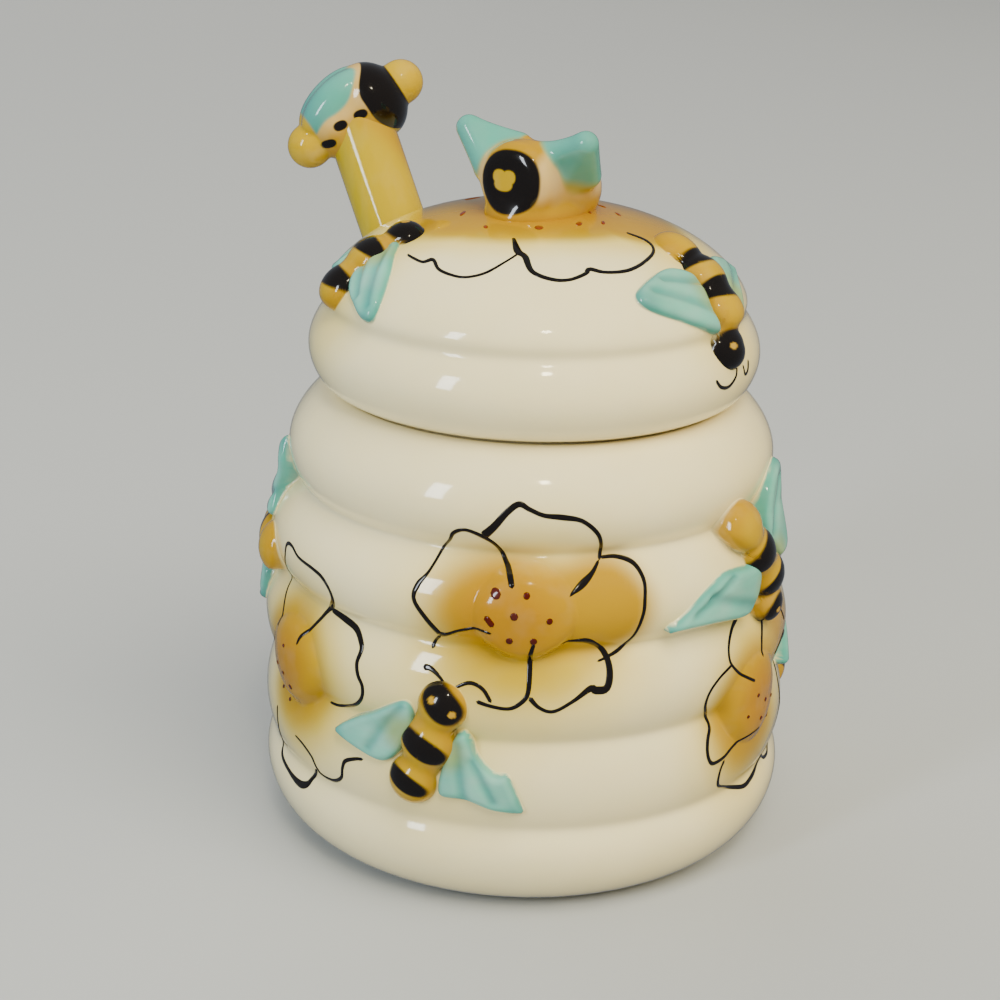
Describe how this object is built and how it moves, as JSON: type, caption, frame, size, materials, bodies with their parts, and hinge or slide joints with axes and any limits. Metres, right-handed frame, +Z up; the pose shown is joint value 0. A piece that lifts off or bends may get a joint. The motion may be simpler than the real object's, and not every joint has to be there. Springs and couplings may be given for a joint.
{
  "type": "honey pot",
  "caption": "Ceramic honey pot shaped like a straw beehive, with moulded bees and flowers, a lift-off lid with a bee knob, and a bee-topped dipper in a notch of the lid.",
  "frame": {"origin": "centre of the flat underside of the pot, on the axis of the beehive", "axes": "+Z up along the axis of the beehive; -Y out of the side with the large flower, so the dipper leans to the back left"},
  "size_m": [0.1205, 0.1186, 0.1594],
  "materials": {
    "cream_glaze": "gloss",
    "amber_glaze": "gloss",
    "teal_glaze": "gloss",
    "yellow_glaze": "gloss"
  },
  "bodies": {
    "pot": {"pot": "cream_glaze", "front_flower_centre": "amber_glaze", "right_flower_centre": "amber_glaze", "left_flower_centre": "amber_glaze", "back_right_flower_centre": "amber_glaze", "back_flower_centre": "amber_glaze", "back_left_flower_centre": "amber_glaze", "front_bee_body": "amber_glaze", "front_bee_left_wing": "teal_glaze", "front_bee_right_wing": "teal_glaze", "right_bee_body": "amber_glaze", "right_bee_left_wing": "teal_glaze", "right_bee_right_wing": "teal_glaze", "left_bee_body": "amber_glaze", "left_bee_left_wing": "teal_glaze", "left_bee_right_wing": "teal_glaze", "back_right_bee_body": "amber_glaze", "back_right_bee_left_wing": "teal_glaze", "back_right_bee_right_wing": "teal_glaze", "back_high_bee_body": "amber_glaze", "back_high_bee_left_wing": "teal_glaze", "back_high_bee_right_wing": "teal_glaze", "back_left_bee_body": "amber_glaze", "back_left_bee_left_wing": "teal_glaze", "back_left_bee_right_wing": "teal_glaze"},
    "lid": {"lid": "cream_glaze", "lid_right_bee_body": "amber_glaze", "lid_right_bee_left_wing": "teal_glaze", "lid_right_bee_right_wing": "teal_glaze", "lid_left_bee_body": "amber_glaze", "lid_left_bee_left_wing": "teal_glaze", "lid_left_bee_right_wing": "teal_glaze", "lid_back_bee_body": "amber_glaze", "lid_back_bee_left_wing": "teal_glaze", "lid_back_bee_right_wing": "teal_glaze", "knob_bee_body": "amber_glaze", "knob_bee_left_wing": "teal_glaze", "knob_bee_right_wing": "teal_glaze"},
    "dipper": {"dipper": "yellow_glaze", "dipper_bee_body": "amber_glaze", "dipper_bee_left_wing": "teal_glaze", "dipper_bee_right_wing": "teal_glaze"}
  },
  "joints": [
    {"name": "lid_lift", "type": "slide", "parent": "pot", "child": "lid", "axis": [0, 0, 1], "range_m": [0, 0.11]},
    {"name": "dipper_slide", "type": "slide", "parent": "lid", "child": "dipper", "axis": [-0.3489, 0.3141, 0.8829], "range_m": [0, 0.065]}
  ]
}
